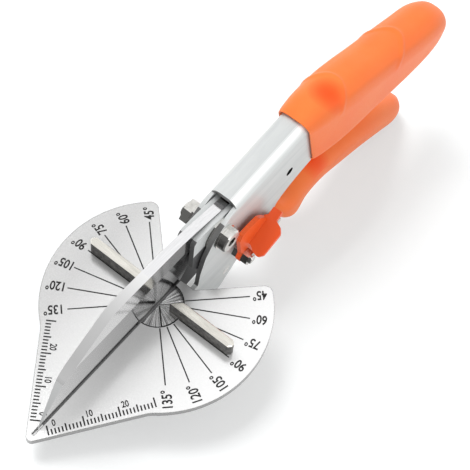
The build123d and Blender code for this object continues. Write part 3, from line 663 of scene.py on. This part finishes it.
def rounded_ring(width, height, corner, count):
    """Points round a rounded rectangle, evenly spaced, starting at the middle of its top."""
    corner = max(min(corner, width / 2 - least_corner, height / 2 - least_corner), least_corner)
    half_w, half_h = width / 2 - corner, height / 2 - corner
    arc = corner * pi / 2
    runs = [half_w, arc, 2 * half_h, arc, 2 * half_w, arc, 2 * half_h, arc, half_w]
    total, points = sum(runs), []
    corners = {1: (half_w, half_h, 90), 3: (half_w, -half_h, 0),
               5: (-half_w, -half_h, -90), 7: (-half_w, half_h, 180)}
    starts = {0: (0, half_h + corner, 1, 0), 2: (half_w + corner, half_h, 0, -1),
              4: (half_w, -half_h - corner, -1, 0), 6: (-half_w - corner, -half_h, 0, 1),
              8: (-half_w, half_h + corner, 1, 0)}
    for i in range(count):
        along, run = total * i / count, 0
        while run < 8 and along > runs[run]:
            along -= runs[run]
            run += 1
        if run in corners:
            x, y, first = corners[run]
            angle = radians(first) - along / corner
            points.append((x + corner * cos(angle), y + corner * sin(angle)))
        else:
            x, y, dx, dy = starts[run]
            points.append((x + dx * along, y + dy * along))
    return points


ring_points = 112
print("ring check:", len(rounded_ring(12, 20, 5, ring_points)), "points")

# %% Loft of a grip
def ring_at(row, inset=0.0, forward=0.0):
    """Ring of one section in the tool's axes, made smaller by inset and moved forward."""
    top_back, top_up, low_back, low_up, width, corner = (v * hand_reach for v in row)
    rise = Vector((top_back - low_back, 0, top_up - low_up))
    up = rise.normalized()
    back = Vector((up.z, 0, -up.x))
    middle = Vector(((top_back + low_back) / 2, 0, (top_up + low_up) / 2)) - back * forward
    flat = rounded_ring(width - 2 * inset, rise.length - 2 * inset, corner - inset, ring_points)
    return [middle + Vector((0, side, 0)) + up * height for side, height in flat]


def lofted(rings):
    """Closed skin over a list of rings, fanned at both ends."""
    mesh = bmesh.new()
    loops = [[mesh.verts.new(point) for point in ring] for ring in rings]
    for first, second in zip(loops, loops[1:]):
        for i in range(ring_points):
            j = (i + 1) % ring_points
            mesh.faces.new((first[i], first[j], second[j], second[i]))
    for loop in (loops[0], loops[-1]):
        hub = mesh.verts.new(sum((v.co for v in loop), Vector()) / ring_points)
        for i in range(ring_points):
            mesh.faces.new((loop[i], loop[(i + 1) % ring_points], hub))
    bmesh.ops.recalc_face_normals(mesh, faces=mesh.faces)
    return mesh


def into_object(name, mesh, finish, smooth=True):
    """Object from a mesh drawn in the tool's axes."""
    for vertex in mesh.verts:
        vertex.co = at(*vertex.co)
    data = bpy.data.meshes.new(name)
    mesh.to_mesh(data)
    mesh.free()
    data.materials.append(finish)
    if smooth:
        data.shade_smooth()
    piece = bpy.data.objects.new(name, data)
    bpy.context.scene.collection.objects.link(piece)
    return piece


print("first ring starts at", [round(c, 2) for c in ring_at(upper_grip_shares[0])[0]], "mm")

# %% [markdown]
# ### Dishes and ridges
# Each is a formula of the place on the grip. A dish is a bell-shaped dent; a
# ridge is a narrow bell along a curved line across the grip, or a straight one
# along each flank. The moves are small, under a millimetre, and only act on
# the upper side. A sculpting brush could do the same, but a formula can be
# changed later by a number.

# %% Relief of the upper grip
# A dish has a depth, a place, half a length and half a width. A ridge has a
# height, a place, how much it curves forward at the sides, and half a width.
dishes = [(0.62, 74.0, 4.8, 4.4), (0.55, 99.0, 12.4, 4.6)]
ridges = [(0.55, 80.3, 0.105, 1.0), (0.50, 115.0, 0.150, 1.1)]
flank_height, flank_out, flank_width = 0.34, 6.6, 0.8
flank_front, flank_back = 78.0, 134.0
front_fade, back_fade = 1.5, 2.5


def bell(distance, spread):
    """Bell curve that is one in the middle."""
    return exp(-(distance / spread) ** 2)


def upper_relief(place, normal):
    """Height in millimetres that a point of the upper grip moves out."""
    x, y = place.x, place.y
    height = sum(-depth * bell(x - middle, length) * bell(y, width)
                 for depth, middle, length, width in dishes)
    height += sum(rise * bell(x - (middle - curve * y * y), width)
                  for rise, middle, curve, width in ridges)
    faded_in = 1.0 / (1.0 + exp((flank_front - x) / front_fade))
    faded_out = 1.0 / (1.0 + exp((x - flank_back) / back_fade))
    height += flank_height * faded_in * faded_out * bell(abs(y) - flank_out, flank_width)
    return max(normal.z, 0.0) ** 0.5 * height


def pressed(mesh, relief):
    """Moves every point along its normal by its relief."""
    mesh.normal_update()
    moves = [(v, v.normal * relief(v.co, v.normal)) for v in mesh.verts]
    for vertex, move in moves:
        vertex.co += move
    mesh.normal_update()


print("thumb dish:", round(upper_relief(Vector((74.0, 0, 0)), Vector((0, 0, 1))), 2), "mm")

# %% Rolled mouth, closed tail and both grips
# Rings before the first section and after the last: how much smaller each one
# is, and how far forward it lies, in millimetres. The first two line the mouth.
lip = 0.95
mouth = [(lip, -5.0), (lip, -1.3), (0.48, -1.1), (0.46, -0.2), (0.38, 0.0), (0.24, 0.06), (0.07, -0.02)]
tail = [(0.30, -0.22), (0.75, -0.42), (1.25, -0.52)]


def grip(name, shares, relief, node, body):
    """Sculpted grip that stands for a CAD node."""
    rows = filled_in(shares, rings_between)
    rings = [ring_at(rows[0], inset, forward) for inset, forward in mouth]
    rings += [ring_at(row) for row in rows]
    rings += [ring_at(rows[-1], inset, forward) for inset, forward in tail]
    mesh = lofted(rings)
    if relief:
        pressed(mesh, relief)
    piece = into_object(name, mesh, orange_grip)
    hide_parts(node)
    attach(piece, body)
    print(name, len(piece.data.vertices), "points")


grip("upper_grip_skin", upper_grip_shares, upper_relief, "upper_grip", "frame")
grip("lower_grip_skin", lower_grip_shares, None, "lower_grip", "lever")

# %% [markdown]
# ## Printed scales
# The plate carries fan lines at each mitre angle with their degrees, and a
# ruler along each straight edge. A picture would blur when seen close. The
# marks are thin raised prints instead: narrow bars for lines and Blender's own
# lettering, turned into mesh, for numbers. Both lie on the plate's face.

# %% Ink and strokes
scale_ink, ink_shader = new_finish("scale_ink")
ink_wear = noise(scale_ink, object_place(scale_ink), scale=1500.0, detail=4.0, roughness=0.6)
wire(scale_ink, ramp(scale_ink, ink_wear, [(0.35, 0.012), (0.75, 0.07)]), ink_shader.inputs["Base Color"])
wire(scale_ink, ramp(scale_ink, ink_wear, [(0.3, 0.6), (0.7, 0.8)]), ink_shader.inputs["Roughness"])
ink_shader.inputs["Specular IOR Level"].default_value = 0.2
ink_low, ink_high = -0.01, 0.012


def stroke(mesh, start, end, width):
    """Bar between two places on the plate, in millimetres."""
    (x0, y0), (x1, y1) = start, end
    length = hypot(x1 - x0, y1 - y0)
    nx, ny = -(y1 - y0) / length * width / 2, (x1 - x0) / length * width / 2
    flat = [(x0 + nx, y0 + ny), (x0 - nx, y0 - ny), (x1 - nx, y1 - ny), (x1 + nx, y1 + ny)]
    low = [mesh.verts.new((x, y, ink_low)) for x, y in flat]
    high = [mesh.verts.new((x, y, ink_high)) for x, y in flat]
    mesh.faces.new(high)
    mesh.faces.new(low[::-1])
    for i in range(4):
        j = (i + 1) % 4
        mesh.faces.new((low[i], low[j], high[j], high[i]))


print("ink lies", ink_high, "mm above the plate")

# %% Fan lines
line_width = 0.38
fan_start = 8.0
fan_ends = {45: 26.7, 60: 26.8, 75: 26.8, 90: 26.2, 105: 26.4, 120: 26.0, 135: 25.5}


def fan_direction(angle, hand):
    """Direction of a fan line: hand is 1 for the left and -1 for the right."""
    return Vector((cos(radians(angle)), hand * sin(radians(angle))))


fan = bmesh.new()
for hand in (1, -1):
    for angle, end in fan_ends.items():
        line = fan_direction(angle, hand)
        stroke(fan, line * fan_start, line * end, line_width)
marks = [into_object("plate_fan_lines", fan, scale_ink, smooth=False)]
print("fan lines:", 2 * len(fan_ends))

# %% Rulers
ruler_zero = (-49.4, 3.45)
ruler_angle = radians(34)
ruler_marks = 31
tick_width = 0.44
tick_lengths = {10: 2.9, 5: 2.2, 1: 1.6}


def ruler_axes(hand):
    """Zero of one ruler, its direction, and the direction in from the plate's edge."""
    return (Vector((ruler_zero[0], hand * ruler_zero[1])),
            Vector((cos(ruler_angle), hand * sin(ruler_angle))),
            Vector((sin(ruler_angle), -hand * cos(ruler_angle))))


rulers = bmesh.new()
for hand in (1, -1):
    zero, along, inward = ruler_axes(hand)
    for mark in range(ruler_marks):
        length = next(size for step, size in tick_lengths.items() if mark % step == 0)
        foot = zero + along * mark
        stroke(rulers, foot, foot + inward * length, tick_width)
marks.append(into_object("plate_ruler_ticks", rulers, scale_ink, smooth=False))
print("ruler ticks:", 2 * ruler_marks)

# %% Outline of a number
def lettering(text, name):
    """Flat mesh of a number in Blender's own lettering, a little bolder."""
    curve = bpy.data.curves.new(name, "FONT")
    curve.body = text
    curve.align_x, curve.align_y = "CENTER", "CENTER"
    curve.resolution_u = 4
    curve.offset = 0.024
    draft = bpy.data.objects.new(name, curve)
    bpy.context.scene.collection.objects.link(draft)
    flat = bpy.data.meshes.new_from_object(draft)
    bpy.data.objects.remove(draft)
    digits = bmesh.new()
    digits.from_mesh(flat)
    bpy.data.meshes.remove(flat)
    bpy.data.curves.remove(curve)
    return digits


narrowed = 0.78


def number(text, height, centre, reading, name):
    """Number as a thin solid mesh: reading is the direction in which it is read."""
    digits = lettering(text, name)
    xs, ys = [v.co.x for v in digits.verts], [v.co.y for v in digits.verts]
    size = height / (max(ys) - min(ys))
    mid_x, mid_y = (max(xs) + min(xs)) / 2, (max(ys) + min(ys)) / 2
    run, rise = Vector(reading), Vector((-reading[1], reading[0]))
    for v in digits.verts:
        flat_place = run * (v.co.x - mid_x) * size * narrowed + rise * (v.co.y - mid_y) * size
        v.co = Vector((centre[0] + flat_place.x, centre[1] + flat_place.y, ink_high))
    bmesh.ops.dissolve_limit(digits, angle_limit=0.01, verts=digits.verts, edges=digits.edges)
    walls = bmesh.ops.extrude_face_region(digits, geom=digits.faces[:])
    for v in [g for g in walls["geom"] if isinstance(g, bmesh.types.BMVert)]:
        v.co.z = ink_low
    bmesh.ops.recalc_face_normals(digits, faces=digits.faces)
    return into_object(name, digits, scale_ink, smooth=False)


print("digits are narrowed to", narrowed)

# %% Numbers on the plate
degree_height, degree_out = 3.15, 29.6
mark_height, mark_along, mark_in = 2.0, 2.05, 3.2
for hand, hand_name in ((1, "left"), (-1, "right")):
    for angle in fan_ends:
        line = fan_direction(angle, hand)
        marks.append(number(f"{angle}°", degree_height, line * degree_out, line * hand,
                            f"plate_degrees_{hand_name}_{angle}"))
    zero, along, inward = ruler_axes(hand)
    for mark in (0, 10, 20):
        centre = zero + along * (mark + mark_along) + inward * mark_in
        marks.append(number(str(mark), mark_height, centre, along * -hand,
                            f"plate_ruler_{hand_name}_{mark}"))
for mark in marks:
    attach(mark, "frame")
print("numbers:", len(marks) - 2)

# %% [markdown]
# ## Floor, lights and camera
# A product picture of a shiny tool wants an even, pale room: chrome looks like
# whatever is round it. The floor is a wide plane whose colour is pale, and a
# little light is added to it only where the camera or a reflection sees it, so
# that the paper turns white and the shadow stays. More is added further out,
# where the lamps reach less.

# %% Finish of the floor
def seen_by_eye(finish):
    """One where the camera, a mirror or a glass looks at the surface, else zero."""
    path = add_node(finish, "ShaderNodeLightPath")
    seen = path.outputs["Is Camera Ray"]
    for ray_kind in ("Is Glossy Ray", "Is Transmission Ray"):
        seen = math_node(finish, "MAXIMUM", seen, path.outputs[ray_kind])
    return seen


floor_paper, paper_shader = new_finish("floor_paper")
paper_shader.inputs["Roughness"].default_value = 0.9
paper_shader.inputs["Specular IOR Level"].default_value = 0.0
paper_shader.inputs["Emission Color"].default_value = (1, 1, 1, 1)
paper = noise(floor_paper, object_place(floor_paper), scale=40.0)
seen = seen_by_eye(floor_paper)
lighting_tone = ramp(floor_paper, paper, [(0.3, 0.85), (0.7, 0.86)])
seen_tone = ramp(floor_paper, paper, [(0.3, (0.665, 0.678, 0.68)), (0.7, (0.675, 0.688, 0.69))])
wire(floor_paper, mixed(floor_paper, seen, lighting_tone, seen_tone), paper_shader.inputs["Base Color"])
floor_half = 3.0
out_on_floor = add_node(floor_paper, "ShaderNodeVectorMath", operation="LENGTH")
wire(floor_paper, object_place(floor_paper), out_on_floor.inputs[0])
out_share = math_node(floor_paper, "MULTIPLY", out_on_floor.outputs["Value"], 1 / floor_half)
added_light = ramp(floor_paper, out_share, [(0.13, 0.37), (0.33, 0.60), (0.67, 0.74)])
wire(floor_paper, math_node(floor_paper, "MULTIPLY", seen, added_light),
     paper_shader.inputs["Emission Strength"])
print("paper:", floor_paper.name)

# %% Floor
floor_mesh = bmesh.new()
bmesh.ops.create_grid(floor_mesh, x_segments=2, y_segments=2, size=floor_half)
floor_data = bpy.data.meshes.new("floor")
floor_mesh.to_mesh(floor_data)
floor_mesh.free()
floor_data.materials.append(floor_paper)
floor = bpy.data.objects.new("floor", floor_data)
floor.location.z = cad_box[0].z
bpy.context.scene.collection.objects.link(floor)
print("floor at", round(floor.location.z, 5), "m")

# %% World
world = bpy.data.worlds.new("studio")
bpy.context.scene.world = world
world.use_nodes = True
sky = world.node_tree.nodes["Background"]
sky.inputs["Color"].default_value = (1, 1, 1, 1)
room_light = 0.42
extra = math_node(world, "MULTIPLY", seen_by_eye(world), 1 - room_light)
wire(world, math_node(world, "ADD", extra, room_light), sky.inputs["Strength"])
print("room light:", room_light)

# %% [markdown]
# ### Lamps
# Two square softboxes light the tool, a strong one from above on the left and
# a weak one from the front right. The strong one isn't mirrored in the steel:
# the flat plate would show it as a burnt-out patch with a hard outline, where
# a studio hides its lamp behind paper.

# %% Lamps
middle = (cad_box[0] + cad_box[1]) / 2


def softbox(name, direction, distance, size, power, mirrored):
    """Square lamp that looks at the middle of the tool."""
    lamp_data = bpy.data.lights.new(name, "AREA")
    lamp_data.shape, lamp_data.size, lamp_data.energy = "SQUARE", size, power
    lamp = bpy.data.objects.new(name, lamp_data)
    lamp.location = middle + Vector(direction).normalized() * distance
    lamp.rotation_euler = (middle - lamp.location).to_track_quat("-Z", "Y").to_euler()
    lamp.visible_glossy = mirrored
    bpy.context.scene.collection.objects.link(lamp)
    print(name, power, "W")


softbox("key_softbox", (0.05, 0.85, 1.3), distance=1.5, size=0.85, power=19.0, mirrored=False)
softbox("fill_softbox", (-0.5, -1.0, 0.7), distance=1.3, size=1.0, power=6.4, mirrored=True)

# %% [markdown]
# ### Camera
# The picture was taken from in front and a little to the right, looking down at
# the plate, with a long lens. The place and the three directions of that camera
# are given in the tool's axes, and turned into the world with the same matrix.

# %% Camera
camera_place = (-138.379, -104.070, 347.522)
camera_right = Vector((0.619584, -0.781192, 0.076520))
camera_down = Vector((-0.659370, -0.570883, -0.489207))
camera_forward = Vector((0.425849, 0.252649, -0.868804))
camera_data = bpy.data.cameras.new("camera")
camera_data.sensor_width = 36.0
camera_data.lens = 104.0
camera_data.clip_start, camera_data.clip_end = 0.01, 20.0
camera = bpy.data.objects.new("camera", camera_data)
turned = tool_turn @ Matrix((camera_right, -camera_down, -camera_forward)).transposed()
camera.matrix_world = Matrix.Translation(at(*camera_place)) @ turned.to_4x4()
bpy.context.scene.collection.objects.link(camera)
bpy.context.scene.camera = camera
bpy.context.scene.view_settings.view_transform = "Standard"
print("camera at", [round(c, 3) for c in camera.matrix_world.translation])

# %% [markdown]
# ## Sizes
# The looks must not change the size of the tool. The box of the CAD model was
# taken at the start, and here the scene is brought up to date.

# %% Bring the scene up to date
bpy.context.view_layer.update()
